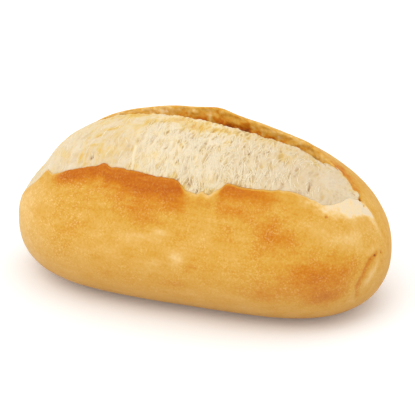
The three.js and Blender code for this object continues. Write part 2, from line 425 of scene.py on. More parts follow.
def ring_normals(rings):
    """Outward normals at each point of a stack of closed rings."""
    round_ring = np.roll(rings, -1, axis=1) - np.roll(rings, 1, axis=1)
    along = np.gradient(rings, axis=0)
    normals = unit(np.cross(round_ring, along))
    outward = rings - (0, 0, WAIST)
    if np.sum(normals * outward) < 0:
        normals = -normals
    return normals


def mesh_object(name, points, faces, values):
    """A smooth mesh that faces outwards, from millimetre points, with values for each point."""
    mesh = bpy.data.meshes.new(name)
    mesh.from_pydata((points * MM).tolist(), [], faces)
    for key, numbers in values.items():
        attribute = mesh.attributes.new(key, "FLOAT", "POINT")
        attribute.data.foreach_set("value", numbers.astype(np.float32))
    form = bmesh.new()
    form.from_mesh(mesh)
    bmesh.ops.recalc_face_normals(form, faces=form.faces)
    form.to_mesh(mesh)
    form.free()
    mesh.shade_smooth()
    piece = bpy.data.objects.new(name, mesh)
    bpy.context.collection.objects.link(piece)
    return piece


def tube_faces(steps, sides):
    """Faces of a closed tube whose points are a tip, a ring at each step, and the other tip."""
    last = 1 + (steps - 1) * sides
    faces = []
    for index in range(sides):
        after = (index + 1) % sides
        for low in range(1, last, sides):
            high = low + sides
            faces.append((low + index, low + after, high + after, high + index))
        faces.append((0, 1 + after, 1 + index))
        faces.append((last + sides, last + index, last + after))
    return faces


def lofted_object(name, rings, tips, values):
    """A closed mesh through rings of points, with a tip at each end and values at each point."""
    points = np.concatenate([[tips[0]], rings.reshape(-1, 3), [tips[1]]])
    flat = {key: np.concatenate([[grid[0].mean()], grid.ravel(), [grid[-1].mean()]])
            for key, grid in values.items()}
    return mesh_object(name, points, tube_faces(*rings.shape[:2]), flat)


# ---- how the crust is baked, with the light and shade painted on it

BASE_BAKE = 0.48
DARKEST_BAKE = 0.78
LEFT_LIP = (-51, -42, 0, 7)  # stretch of browner lip, left of the torn notch
RIGHT_LIP = (15, 18, 24, 46)  # and right of it
TORN_LIP = (10, 7, 6)  # the notch's middle, half width and sharpness

# Where the front of the crust is browner, and where flour has stayed on it, as
# (mm along the roll, degrees, half length, half height, strength)
BROWN_SPOTS = (
    (51, 6, 10, 6, 0.17),
    (56, -11, 9, 6, 0.19),
    (38, -6, 14, 7, 0.13),
    (63, 10, 7, 14, 0.10),
    (-36, 9, 7, 5, 0.03),
    (-20, -8, 9, 4, 0.05),
    (-8, 30, 14, 8, 0.06),
    (30, 33, 9, 5, 0.05),
    (40, 27, 8, 8, 0.13),
)
PALE_SPOTS = (
    (-2.7, 17.2, 3.2, 1.1, 0.24),
    (-9, 14, 7.0, 1.6, 0.10),
    (-16, 12, 3.0, 1.8, 0.08),
    (3.4, 6, 3.2, 2.2, 0.22),
    (-4, 3, 2.0, 1.4, 0.10),
    (12.2, 16.5, 5, 1.2, 0.07),
    (-42, 36, 3.0, 2.2, 0.12),
    (54.5, 37, 8, 7.0, 0.15),
    (62, 44, 4, 11.0, 0.07),
    (22, -12, 6, 3.0, 0.08),
)
# Lower edge of the floury patch under the score's right end, as (mm along, degrees)
PATCH_COURSE = (
    (44, 54.5), (50, 54.5), (56, 56.3), (59.5, 59.2), (61.3, 63), (62.6, 74), (63.6, 84), (70, 110),
)
PATCH_STREAK = (61.8, 59.0, 67.2, 54.5)  # mm along and mm up, at both ends
MOST_FLOUR = 0.92


def spots(x, degrees, marks):
    """Sum of the strengths of soft spots."""
    total = 0.0 * (x + degrees)
    for centre, angle, half_length, half_height, strength in marks:
        across = (turned(degrees) - angle) * ARC_PER_DEGREE
        total = total + strength * hump(x, centre, half_length) * hump(across, 0, half_height)
    return total


def floury(x, degrees, points):
    """How floury the crust is under the score's right end."""
    angle = turned(degrees)
    edge = course(PATCH_COURSE, x) + 2.5 * sample(points, 5.0, 23.0) + 1.5 * sample(points, 1.4, 3.0)
    in_front = np.where(degrees > 0, 1.0, ramp(58.5, 60, x))
    below_top = np.where(x < 59, 1.0, ramp(88.5, 85, angle)) * in_front
    patch = 0.80 * ramp(edge - 6.0, edge + 5.0, angle) * ramp(44, 56, x) * below_top
    patch = patch * (1 + 0.22 * sample(points, 3.0, 63.0, 2) + 0.12 * sample(points, 1.1, 9.0))
    streak = 0.48 * stroke(x, angle * ARC_PER_DEGREE, PATCH_STREAK, 2.8)
    smear = 0.35 * hump(x, 48, 6) * hump(angle, 54, 3.5)
    smear = smear * (1 + sample(points * (0.3, 1, 1), 1.0, 5.0))
    return np.clip(patch + streak + smear, 0, MOST_FLOUR)


def lens(points):
    """The pale lens inside the fold at the right end."""
    along = stroke(points[..., 1], points[..., 2], LENS_LINE, 1.5)
    return along * ramp(60, 63, points[..., 0]) * ramp(-2, -5, points[..., 1])


def lip_browning(x, below, points):
    """How much browner the crust is towards the lip, at millimetres below it."""
    strength = 0.05 + 0.30 * stretch(x, LEFT_LIP) + 0.27 * stretch(x, RIGHT_LIP)
    strength = strength + 0.05 * hump(x, -53, 3) + 0.06 * hump(x, -12, 14)
    reach = 4.0 + 1.0 * hump(x, -4, 12) + 1.4 * hump(x, 20, 6)
    reach = reach * (1 + 0.35 * sample(points, 7.0, 41.0))
    beyond = np.clip(below - 0.8, 0, None) / reach
    fading = 0.6 * np.exp(-beyond ** 2 / 2) + 0.4 * np.exp(-beyond / 1.4)
    return strength * fading * presence(x)


def lip_paleness_and_highlight(x, below):
    """How much paler the very edge of the lip is, most of all where it isn't torn: partly paler
    crust, partly a painted highlight where the rim catches the light.
    """
    torn = hump(x, *TORN_LIP)
    strength = 0.24 - 0.04 * torn - 0.14 * hump(x, -37, 10, 4)
    return strength * presence(x) * hump(below, -0.1, 0.45 + 0.7 * torn)


def ear_tint(x, degrees, points):
    """The orange crust behind the ear's right end, and the pale strip behind its left end."""
    to_ear = (degrees + 360 - ear_angle(x)) * ARC_PER_DEGREE
    orange = 0.20 + 0.20 * sample(points, 2.2, 77.0, 2)
    orange = orange * hump(x, 52, 9) * ramp(61, 58, x) * hump(to_ear, 0, 7)
    pale = 0.28 * ramp(-36, -48, x) * hump(to_ear, 0, 3.5) * presence(x)
    return orange - pale


def crust_mottle(x, degrees, points):
    """Unevenness of the bake at several sizes, with streaks along the roll and a patchier back."""
    mottle = 0.07 * sample(points, 20.0, 11.0, 3) + 0.04 * sample(points, 6.0, 17.0, 2)
    mottle = mottle + 0.045 * sample(points * (0.28, 1, 1), 3.2, 45.0, 2)
    at_back = ramp(-100, -140, degrees) * ramp(62, 46, x)
    return mottle + 0.08 * at_back * sample(points, 11.0, 91.0, 3)


def crust_bake_and_shading(x, degrees, points):
    """How brown the crust is baked, from 0 for raw white to 1 for dark brown, with painted
    highlights on the lip's edge and the left end and painted shade in the pores.
    """
    below = (lip_angle(x) - degrees) * ARC_PER_DEGREE
    bake_and_shading = BASE_BAKE + lip_browning(x, below, points) - lip_paleness_and_highlight(x, below)
    # paler towards the left end: partly less baked crust, partly a painted highlight along the end's
    # edge
    bake_and_shading = bake_and_shading - 0.17 * ramp(-44, -68, x) + 0.025 * stretch(x, (20, 40, 52, 62))
    bake_and_shading = bake_and_shading - 0.04 * ramp(24, 6, points[..., 2])
    bake_and_shading = bake_and_shading + spots(x, degrees, BROWN_SPOTS) - spots(x, degrees, PALE_SPOTS)
    bake_and_shading = bake_and_shading + ear_tint(x, degrees, points) + crust_mottle(x, degrees, points)
    bake_and_shading = np.minimum(bake_and_shading, DARKEST_BAKE) + fold_bake(points)
    # the pores are darkened with painted shade
    return bake_and_shading * (1 - floury(x, degrees, points)) + PORE_SHADE * pores(x, degrees)[1]


# Dark patches on the ear's inner wall, partly scorched crust and partly painted shadow of the
# groove, as (mm along the roll, share of its height, half length, half height, strength), and
# light strands across it as (mm along, half width)
EAR_SCORCHES_AND_SHADOWS = (
    (-32, 0.30, 2.5, 0.20, 0.16),
    (-28, 0.40, 2.0, 0.20, 0.14),
    (-21, 0.45, 4.5, 0.20, 0.22),
    (-10, 0.45, 3.0, 0.25, 0.28),
    (-3, 0.55, 4.0, 0.30, 0.30),
    (8, 0.60, 5.0, 0.35, 0.50),
    (16, 0.55, 4.5, 0.33, 0.48),
    (24, 0.50, 3.5, 0.25, 0.26),
    (31, 0.45, 2.5, 0.25, 0.24),
    (36, 0.45, 3.0, 0.22, 0.22),
)
EAR_STRANDS = ((-16, 0.9), (2.5, 0.7), (19, 0.9), (22.5, 0.5), (28.5, 0.6))
GOLDEN_RIM = (-24, -12, 38, 50)  # stretch of lighter rim


def wall_bake_and_shade(x, share, points):
    """Bake of the ear's inner wall, with painted shade: a golden rim, darker below it where the
    groove's shadow falls and where it is scorched, with a few pale strands.
    """
    # darker towards the wall's foot: painted shadow of the groove
    shade = 0.50 + 0.20 * ramp(0.30, 0.75, share) - 0.11 * ramp(-6, -26, x)
    shade = shade + 0.06 * ramp(-8, 2, x) - 0.10 * ramp(24, 34, x)
    shade = shade - 0.06 * ramp(0.40, 0.08, share) * stretch(x, GOLDEN_RIM)
    # dark patches: partly scorches, partly painted shadow of the groove
    for centre, height, half_length, half_height, strength in EAR_SCORCHES_AND_SHADOWS:
        shade = shade + strength * hump(x, centre, half_length) * hump(share, height, half_height)
    shade = shade + 0.22 * sample(points * (0.5, 1, 1), 1.0, 29.0, 3)
    shade = shade + 0.12 * sample(points * (0.5, 1, 1), 3.5, 83.0)
    strands = ramp(0.30, 0.60, sample(points * (1, 0.25, 0.25), 1.3, 33.0, 2)) * 0.5
    for centre, half_width in EAR_STRANDS:
        strands = np.maximum(strands, hump(x + 0.3 * points[..., 1], centre, half_width))
    return shade - 0.24 * strands * ramp(1.0, 0.3, share) * ramp(0.02, 0.2, share)


def speck_density(x, degrees):
    """How thickly the front of the crust is speckled with flour, most of all on its left."""
    density = 0.32 + 0.28 * ramp(-20, -45, x) * ramp(-20, 10, degrees)
    below = (lip_angle(x) - degrees) * ARC_PER_DEGREE
    return density * ramp(-40, -10, degrees) * (0.4 + 0.6 * ramp(3, 9, below))


def crust_relief(points):
    """Height of the crust's unevenness, in millimetres."""
    relief = 0.22 * sample(points, 26.0, 1.3) + 0.10 * sample(points, 8.0, 6.1)
    relief = relief + 0.045 * sample(points, 2.4, 9.9, 2)
    return relief * ramp(0.0, 6.0, points[..., 2])


def fold_gap(points):
    """Distance from the fold's line in the end view, whether a point is inside its bend, and
    how far the point is at the right end."""
    y, z = points[..., 1], points[..., 2]
    nearest = np.full(y.shape, 99.0)
    inside = np.zeros(y.shape)
    for start, end in zip(FOLD_LINE[:-1], FOLD_LINE[1:]):
        _, gap = segment_gap(y, z, start, end)
        side = (y - start[0]) * (end[1] - start[1]) - (z - start[1]) * (end[0] - start[0])
        inside = np.where(gap < nearest, side > 0, inside)
        nearest = np.minimum(gap, nearest)
    at_end = ramp(58, 62, points[..., 0])
    return nearest, inside, at_end


def fold_relief(points):
    """The fold at the right end: a crease, with a ridge outside it and a hollow inside it."""
    gap, inside, at_end = fold_gap(points)
    relief = -0.45 * hump(gap, 0, 0.7) + 0.2 * hump(gap, 1.7, 1.2) * (1 - inside)
    return (relief - 0.2 * hump(gap, 2.0, 1.5) * inside) * at_end


def fold_bake(points):
    """How much browner the fold's crease is, and how much paler its ridge and its lens are."""
    gap, inside, at_end = fold_gap(points)
    crease = 0.13 * hump(gap, 0.2, 1.0) - 0.06 * hump(gap, 2.2, 1.0) * (1 - inside)
    return crease * at_end - 0.24 * lens(points)


def pores(x, degrees):
    """Depth of the small holes in the crust, and how much of each point lies in one."""
    points = body_point(x, degrees)
    depth = 0.0 * points[..., 0]
    share = 0.0 * depth
    for centre, angle, radius, deep in CRUST_PORES:
        middle = body_point(np.array([centre]), np.array([angle]))
        spot = hump(np.linalg.norm(points - middle, axis=-1), 0, radius)
        depth = depth + deep * spot
        share = share + spot
    return depth, share


def crust_bumps(x, angles, zones, rings):
    """Height of the relief over the whole crust, in millimetres."""
    opened = openness(x)
    outer = crust_relief(rings) + fold_relief(rings) - pores(x, angles)[0]
    wall = 0.7 * sample(rings * (0.45, 1, 1), 2.0, 71.0, 3)
    in_skin = np.maximum(zones == SKIN_ZONE, 1 - opened)
    return outer * in_skin + wall * (zones == WALL_ZONE) * opened


def make_crust():
    """The whole crust, with how it is baked, speckled and dusty at each point, and the light and
    shade that are painted on it.
    """
    x, rings, angles, zones = crust_rings()
    column = x[:, None]
    relief = crust_bumps(column, angles, zones[None, :], rings)
    rings = rings + ring_normals(rings) * relief[..., None]
    rings[..., 2] = np.maximum(rings[..., 2], 0)
    bake_and_shading = crust_bake_and_shading(column, angles, rings)
    height = rings[..., 2]
    # the score's rim, wall and floor take the ear wall's colour, with its painted shade
    inner = ((zones >= RIM_ZONE) & (zones <= FLOOR_ZONE)) * openness(column)
    wall_share = np.clip(np.cumsum(zones == WALL_ZONE) / WALL_COUNT, 0, 1)[None, :]
    values = {
        "bake_and_shading": bake_and_shading + (wall_bake_and_shade(column, wall_share, rings) - bake_and_shading) * inner,
        "specks": speck_density(column, turned(angles)) * (zones == SKIN_ZONE),
        # darker and greyer towards the foot: painted shade where little light reaches under the
        # roll, partly a dustier underside
        "dust_and_shade": 0.54 * ramp(30, 4, height) + 0.30 * ramp(8, 1, height),
    }
    tips = ((-HALF_LENGTH + SKIN, 0, WAIST), (HALF_LENGTH - SKIN, 0, WAIST))
    crust = lofted_object("crust", rings, tips, values)
    crust.data.materials.append(crust_material())
    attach(crust, "root")
    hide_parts("roll")


# ---- the crumb's mesh

CRUMB_STATIONS = 480
TOP_COUNT = 184  # points from the lip to the ear
UNDER_COUNT = 12  # and back underneath
CRUMB_LEFT = -67.2
CRUMB_RIGHT = 58.9
OVERLAP = 1.6  # degrees by which flush crumb laps over the crust
FLUSH_THICKNESS = 2.2
BELOW_FLOOR = 1.5  # the crumb's underside lies this far in the crust's floor
LEAST_RELIEF = 0.35  # share of the relief that is left at the crumb's edges


def crumb_top(x, share):
    """The risen crumb's surface before its relief; share runs from the lip to the ear."""
    lip, ear = lip_angle(x), ear_angle(x)
    opened, groove = openness(x), course(GROOVE_DEPTH, x)
    rim = run_within(x, RIM_WIDTH)
    wall_foot = ear - rim - run_within(x, WALL_WIDTH)
    overlap = OVERLAP * (1 + 1.3 * sample_line(x, 1.6, 9.0))
    start = lip - overlap * (1 - opened)
    grooved = ramp(0.4, 2.5, groove)
    end = ear + (wall_foot + 1.0 - ear) * grooved + overlap * (1 - grooved)
    degrees = start + (end - start) * share
    from_lip = (degrees - start) * ARC_PER_DEGREE
    to_ear = (end - degrees) * ARC_PER_DEGREE
    tuck = (1 - ramp(0, 0.9, from_lip)) ** 2
    dip = (1 - ramp(0, 1.2, to_ear)) ** 2
    bulge = (0.1 + 0.5 * opened) * np.sin(math.pi * share)
    points = push_in(body_point(x, degrees), tuck + dip - bulge - 0.2)
    crest = np.clip(course(CREST_COURSE, x), start, wall_foot - 2)
    points[..., 2] -= groove * ramp(crest, wall_foot, degrees)
    return points, degrees, from_lip, to_ear


def shag(x):
    """How shaggy the crumb is along the roll."""
    return 0.25 + 0.75 * ramp(-24, -6, x) * ramp(48, 20, x) + 0.15 * ramp(20, 50, x)


# Folds and cracks in the crumb as (mm along, degrees, mm along, degrees, half width, height)
CRUMB_STROKES = (
    (-18.0, 63, -16.6, 47, 0.60, 0.60),
    (-16.2, 62, -16.0, 57, 0.60, -0.45),
    (-38.4, 64, -38.6, 53, 0.60, 0.40),
    (-36.8, 62, -36.6, 51, 0.50, 0.35),
    (-32.0, 62, -31.2, 50, 0.55, 0.45),
    (-34.3, 56, -34.1, 54, 0.60, -0.90),
    (-34.8, 60, -34.4, 53, 1.30, -0.30),
    (-38.0, 65, -32.5, 64, 0.55, 0.30),
    (-24.0, 58, -23.6, 50, 1.20, -0.25),
    (-4.9, 57, -3.4, 45, 0.50, 0.50),
    (-5.9, 55, -5.5, 52, 0.50, -0.45),
    (-7.2, 52, -6.6, 46, 1.10, -0.40),
    (-10.5, 58, -9.6, 46, 0.55, 0.30),
    (2.6, 57, 0.6, 46, 0.50, 0.50),
    (3.6, 52, 2.2, 46, 0.50, -0.40),
    (4.6, 48, 5.4, 42, 1.30, -1.00),
    (12.6, 52, 11.8, 44, 0.40, 0.40),
    (15.2, 54, 15.8, 47, 0.40, 0.45),
    (19.2, 60, 21.8, 49, 0.40, 0.40),
    (-36.5, 70, -33.5, 74, 0.45, -0.45),
    (-32.6, 76, -29.0, 77, 0.45, -0.45),
    (44.0, 96, 46.2, 90, 0.40, -0.80),
    (45.2, 68, 45.7, 60, 0.42, -0.80),
    (34.0, 60, 35.0, 55, 0.40, -0.40),
    (52.5, 60, 55.5, 63, 0.50, -0.50),
    (57.2, 85.6, 58.0, 84.6, 0.60, -0.90),
)


def stroke_relief(x, around):
    """Height of the listed folds and cracks."""
    x = x + 0.5 * sample(flat_points(x, around), 4.0, 47.0)
    relief = 0.0 * around
    for x0, angle0, x1, angle1, half_width, rise in CRUMB_STROKES:
        line = (x0, angle0 * ARC_PER_DEGREE, x1, angle1 * ARC_PER_DEGREE)
        relief = relief + rise * stroke(x, around, line, half_width)
    return relief


MIDDLE_AROUND = 48.0  # mm up the section at the middle of the crumb
DUSKY_CRUMB = (2, 24, 52, 60)  # stretch of darker crumb between the strands


def strand_turn(x):
    """How much further the strands lean over along the roll, in mm along for each mm up."""
    return 0.16 * ramp(-30, 25, x)


def strand_set(x, around, lean, seed):
    """Ridges that run up from the lip, from 0 between them to 1 along their tops."""
    flat = flat_points(x, around, seed)
    wander = 1.5 * sample(flat, 8.0, seed) + 0.5 * sample(flat, 2.6, seed + 3)
    across = x + wander + (lean + strand_turn(x)) * (around - MIDDLE_AROUND)
    drawn_out = flat_points(across, 0.26 * around, seed)
    return np.clip(1 - 2.2 * np.abs(sample(drawn_out, 1.5)), 0, 1)


def crumb_relief(x, degrees, to_ear):
    """Height of the crumb's strands, folds and pits, how much of each point is ridge, and how much
    painted shade it has in its pits, cracks and the ground between the strands.
    """
    around = degrees * ARC_PER_DEGREE
    flat = flat_points(x, around)
    net = np.maximum(strand_set(x, around, -0.04, 2.2), 0.85 * strand_set(x, around, -0.40, 14.4))
    lumps = sample(flat, 6.0, 51.0, 3)
    cotton = sample(flat, 0.85, 67.0, 2)
    amount = shag(x)
    torn = sample(flat * (0.7, 1, 1), 2.0, 97.0, 3)
    ragged = torn * ramp(13, 5, to_ear) * ramp(1, 3, course(GROOVE_DEPTH, x))
    pitted = sample(flat * (1, 0.7, 1), 0.95, 7.7)
    pits = ramp(0.28, 0.50, pitted) * ramp(0.75, 0.2, net) * amount
    strokes = stroke_relief(x, around)
    relief = amount * 0.19 * (net - 0.4) + 0.28 * lumps + 0.11 * cotton
    relief = relief - 0.30 * pits + 0.48 * ragged + strokes

    raised = ramp(0.12, 0.45, strokes) * (0.25 + 0.55 * ramp(-30, -22, x))
    ridge = np.clip(amount * ramp(0.35, 0.9, net) + raised, 0, 1)
    patchy = 0.5 + 0.5 * ramp(-0.3, 0.3, sample(flat, 7.0, 37.0))
    # painted shade on the ground between the strands
    between = (0.06 + 0.32 * amount) * patchy * ramp(0.45, 0.0, net)
    between = between + 0.08 + 0.08 * sample(flat, 9.0, 19.0, 2)
    between = between + 0.17 * stretch(x, DUSKY_CRUMB)
    # painted shade in the pits, the cracks and between the strands
    hollow = np.clip(0.42 * pits + between + 0.8 * ramp(-0.15, -0.9, strokes), 0, 1)
    return relief, ridge, hollow


# Stretches of browner crumb: toasting by the crest and by the ear's left end, and painted shade by
# the lip
TOASTED_CREST = (-58, -35, 34, 50)
LIP_SHADE_ON_CRUMB = (-26, -8, 14, 34)
TOASTED_LEFT = (-56, -40, -14, -2)

# Toasted spots as (mm along the roll, degrees, half length, half height, strength)
TOAST_SPOTS = (
    (-16.8, 82, 3.6, 2.2, 0.34),
    (-2.0, 80, 4.5, 3.0, 0.34),
    (-8.5, 86, 5.0, 2.0, 0.24),
    (-24, 90, 5.0, 2.0, 0.16),
    (6.5, 80, 5.0, 2.5, 0.20),
    (16, 81, 5.0, 2.0, 0.14),
    (33.8, 76.5, 4.0, 2.2, 0.22),
    (41.0, 87, 5.0, 2.2, 0.20),
    (-35.0, 72, 2.5, 1.0, 0.26),
    (-31.0, 76.5, 2.5, 1.0, 0.26),
    (-38.6, 58, 0.8, 5.0, 0.34),
    (-36.6, 55, 0.6, 3.5, 0.24),
    (-36.0, 51, 1.6, 1.5, 0.16),
    (-31.6, 57, 0.6, 4.5, 0.28),
    (-35.0, 64, 2.6, 0.8, 0.24),
    (-18.0, 57, 1.0, 5.0, 0.08),
)


def toast_and_shade(x, degrees, from_lip, to_ear, points):
    """How browned the crumb is, most of all along the crest in the middle, by toasting and by
    painted shade beside the lip.
    """
    toasting_and_shade = 0.16 + 0.03 * stretch(x, (-44, -30, 22, 36))
    toasting_and_shade = toasting_and_shade + 0.14 * ramp(14, 7, to_ear) * stretch(x, TOASTED_CREST)
    # painted shade on the crumb just above the lip
    toasting_and_shade = toasting_and_shade + 0.10 * ramp(9, 1, from_lip) * stretch(x, LIP_SHADE_ON_CRUMB)
    toasting_and_shade = toasting_and_shade + 0.22 * ramp(5, 1, to_ear) * stretch(x, TOASTED_LEFT)
    speckle = 0.5 + 0.8 * sample(points, 1.3, 31.0, 2)
    toasting_and_shade = toasting_and_shade + 0.34 * ramp(5, 0.5, to_ear) * ramp(36, 46, x) * speckle
    toasting_and_shade = toasting_and_shade + spots(x, degrees, TOAST_SPOTS)
    toasting_and_shade = toasting_and_shade + 0.16 * sample(points, 6.0, 61.0, 3) + 0.11 * sample(points, 2.2, 15.0, 2)
    return toasting_and_shade - 0.06 * ramp(24, 40, x)


def untoasted(toasting_and_shade):
    """How much of a ridge's pale colour is left where the crumb is browned."""
    return 1 - 0.6 * ramp(0.28, 0.50, toasting_and_shade)


def crumb_under(x, degrees):
    """The crumb's underside, below a top that is at the given degrees."""
    share = np.linspace(1, 0, UNDER_COUNT + 2)[None, 1:-1]
    angle = degrees[:, :1] + (degrees[:, -1:] - degrees[:, :1]) * share
    opened = openness(x)
    depth = (CHANNEL_DEPTH + BELOW_FLOOR) * opened + FLUSH_THICKNESS * (1 - opened)
    return push_in(body_point(x, angle), depth + 0 * share)


def whole_ring(top):
    """Values for whole rings of the crumb, with 0 along its underside."""
    return np.pad(top, ((0, 0), (0, UNDER_COUNT)))


def make_crumb():
    """The risen crumb, with how browned and pale it is at each point, and the shade that is painted
    on it.
    """
    column = np.linspace(CRUMB_LEFT, CRUMB_RIGHT, CRUMB_STATIONS)[:, None]
    top, degrees, from_lip, to_ear = crumb_top(column, np.linspace(0, 1, TOP_COUNT)[None, :])
    relief, ridge, hollow = crumb_relief(column, degrees, to_ear)
    relief = relief * np.maximum(ramp(0, 1.0, from_lip) * ramp(0, 1.0, to_ear), LEAST_RELIEF)
    toasting_and_shade = toast_and_shade(column, degrees, from_lip, to_ear, top)
    rings = np.concatenate([top, crumb_under(column, degrees)], axis=1)
    rings = rings + ring_normals(rings) * whole_ring(relief)[..., None]
    values = {
        "bake_and_shading": whole_ring(toasting_and_shade),
        "ridge": whole_ring(ridge * untoasted(toasting_and_shade)),
        "cavity_shade": whole_ring(hollow),
    }
    tips = (rings[0].mean(axis=0), rings[-1].mean(axis=0))
    crumb = lofted_object("crumb", rings, tips, values)
    crumb.data.materials.append(crumb_material("crumb", 0.35))
    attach(crumb, "root")


# ---- the crumb's threads

THREAD_COUNT = 700
THREAD_STEPS = 11
THREAD_SIDES = 5
THREAD_TRIES = 6  # places tried for each thread, before the shaggy ones are kept
THREAD_PLACES = (-58, 50)  # mm along the roll
THREAD_LENGTHS = (2.5, 7.0)
THREAD_RADII = (0.10, 0.17)
THREAD_HEIGHTS = (0.06, 0.14)  # of their middles above their ends
THREAD_SINK = 0.10  # of their ends, into the crumb


def tubes_object(name, paths, radii, values):
    """One mesh of many thin closed tubes: paths (n, steps, 3) and radii (n, steps)."""
    along = unit(np.gradient(paths, axis=1))
    side = unit(np.cross(along, (0.0, -0.6, 0.8)))
    over = np.cross(side, along)
    turn = np.arange(THREAD_SIDES) * 2 * math.pi / THREAD_SIDES
    ring = side[:, :, None] * np.cos(turn)[:, None] + over[:, :, None] * np.sin(turn)[:, None]
    rings = paths[:, :, None] + ring * radii[:, :, None, None]
    count, steps = paths.shape[:2]
    size = steps * THREAD_SIDES + 2
    points = np.concatenate([paths[:, :1], rings.reshape(count, -1, 3), paths[:, -1:]], axis=1)
    all_faces = [[thread * size + corner for corner in face]
                 for thread in range(count) for face in tube_faces(steps, THREAD_SIDES)]
    spread = {key: np.repeat(numbers, size) for key, numbers in values.items()}
    return mesh_object(name, points.reshape(-1, 3), all_faces, spread)


def crumb_surface(x, from_lip):
    """Points on the crumb, at millimetres up from the lip, and how browned they are, with the
    painted shade by the lip.
    """
    lip, ear = lip_angle(x), ear_angle(x)
    share = np.clip(from_lip / ((ear - lip) * ARC_PER_DEGREE), 0, 1)
    points, degrees, start_arc, to_ear = crumb_top(x, share)
    relief, _, _ = crumb_relief(x, degrees, to_ear)
    return push_in(points, -relief), toast_and_shade(x, degrees, start_arc, to_ear, points)


def make_threads():
    """Threads of crumb that stretch up from the lip over the torn crumb."""
    random = np.random.default_rng(11)
    centre = random.uniform(*THREAD_PLACES, THREAD_TRIES * THREAD_COUNT)
    kept = random.uniform(0, 1, centre.size) < shag(centre) ** 1.6
    centre = centre[kept][:THREAD_COUNT]
    count = centre.size
    span = (course(CREST_COURSE, centre) - lip_angle(centre)) * ARC_PER_DEGREE
    start = random.uniform(0, 1, count) ** 1.4 * (span - 5) + 0.6
    length = random.uniform(*THREAD_LENGTHS, count)
    lean = random.normal(0.0, 0.28, count) - strand_turn(centre)
    bow = random.normal(0, 0.5, count)
    step = np.linspace(0, 1, THREAD_STEPS)[None, :]
    arch = np.sin(math.pi * step)
    from_lip = start[:, None] + length[:, None] * step
    x = centre[:, None] + lean[:, None] * length[:, None] * step + bow[:, None] * arch * 0.7
    height = random.uniform(*THREAD_HEIGHTS, count)[:, None] * arch - THREAD_SINK
    surface, toasting_and_shade = crumb_surface(x, from_lip)
    toasting_and_shade = toasting_and_shade[:, THREAD_STEPS // 2]
    radii = random.uniform(*THREAD_RADII, count)[:, None] * (0.35 + 0.65 * arch)
    bake_and_shading = random.uniform(-0.15, 0.05, count) + toasting_and_shade
    values = {"bake_and_shading": bake_and_shading, "ridge": untoasted(toasting_and_shade), "cavity_shade": 0 * bake_and_shading}
    threads = tubes_object("threads", push_in(surface, -height), radii, values)
    threads.data.materials.append(crumb_material("threads", 0.0))
    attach(threads, "root")


# ---- materials


def linear(red, green, blue):
    """A colour given in sRGB steps from 0 to 255, as linear light."""
    steps = (step / 255 for step in (red, green, blue))
    light = [step / 12.92 if step <= 0.04045 else ((step + 0.055) / 1.055) ** 2.4 for step in steps]
    return (*light, 1.0)


def new_material(name):
    """A material, its node tree and its shader."""
    material = bpy.data.materials.new(name)
    material.use_nodes = True
    tree = material.node_tree
    return material, tree, tree.nodes["Principled BSDF"]


def add_node(tree, kind, **settings):
    """Adds a node with the given properties."""
    node = tree.nodes.new(kind)
    for key, value in settings.items():
        setattr(node, key, value)
    return node


def attribute_value(tree, name):
    """A value that the mesh holds at each of its points."""
    return add_node(tree, "ShaderNodeAttribute", attribute_name=name).outputs["Fac"]


def noise_value(tree, size, detail, longer=(1, 1, 1)):
    """Noise from 0 to 1 with features about size millimetres wide, or longer along an axis."""
    coordinates = add_node(tree, "ShaderNodeTexCoord").outputs["Object"]
    mapping = add_node(tree, "ShaderNodeMapping")
    mapping.inputs["Scale"].default_value = [1 / (MM * size * along) for along in longer]
    tree.links.new(coordinates, mapping.inputs["Vector"])
    texture = add_node(tree, "ShaderNodeTexNoise")
    texture.inputs["Scale"].default_value = 1.0
    texture.inputs["Detail"].default_value = detail
    tree.links.new(mapping.outputs["Vector"], texture.inputs["Vector"])
    return texture.outputs["Fac"]


def math_value(tree, operation, first, second):
    """A sum, difference or product of two values, each a number or a socket."""
    node = add_node(tree, "ShaderNodeMath", operation=operation)
    for socket, value in zip(node.inputs, (first, second)):
        if isinstance(value, (int, float)):
            socket.default_value = value
        else:
            tree.links.new(value, socket)
    return node.outputs["Value"]


def swing(tree, size, detail, amount, longer=(1, 1, 1)):
    """Noise that swings to either side of 0 by up to half the amount."""
    centred = math_value(tree, "SUBTRACT", noise_value(tree, size, detail, longer), 0.5)
    return math_value(tree, "MULTIPLY", centred, amount)


def remapped(tree, value, low, high, top):
    """A value from low to high as a value from 0 to top."""
    node = add_node(tree, "ShaderNodeMapRange")
    node.inputs["From Min"].default_value = low
    node.inputs["From Max"].default_value = high
    node.inputs["To Max"].default_value = top
    tree.links.new(value, node.inputs["Value"])
    return node.outputs["Result"]


def add_bump(tree, shader, height, strength, distance):
    """Relief finer than the mesh; distance is in millimetres."""
    bump = add_node(tree, "ShaderNodeBump")
    bump.inputs["Strength"].default_value = strength
    bump.inputs["Distance"].default_value = distance * MM
    tree.links.new(height, bump.inputs["Height"])
    tree.links.new(bump.outputs["Normal"], shader.inputs["Normal"])


def colour_ramp(tree, value, stops):
    """A value as a colour between stops, each (value, colour)."""
    node = add_node(tree, "ShaderNodeValToRGB")
    elements = node.color_ramp.elements
    while len(elements) < len(stops):
        elements.new(0.5)
    for element, (place, colour) in zip(elements, stops):
        element.position = place
        element.color = colour
    tree.links.new(value, node.inputs["Fac"])
    return node.outputs["Color"]


# Places of the sockets that a Mix node uses for colours
MIX_SHARE, MIX_FIRST, MIX_SECOND, MIX_RESULT = 0, 6, 7, 2


def mixed(tree, share, first, second):
    """The first colour, with a share of a plain second one mixed in."""
    node = add_node(tree, "ShaderNodeMix", data_type="RGBA")
    tree.links.new(share, node.inputs[MIX_SHARE])
    tree.links.new(first, node.inputs[MIX_FIRST])
    node.inputs[MIX_SECOND].default_value = second
    return node.outputs[MIX_RESULT]


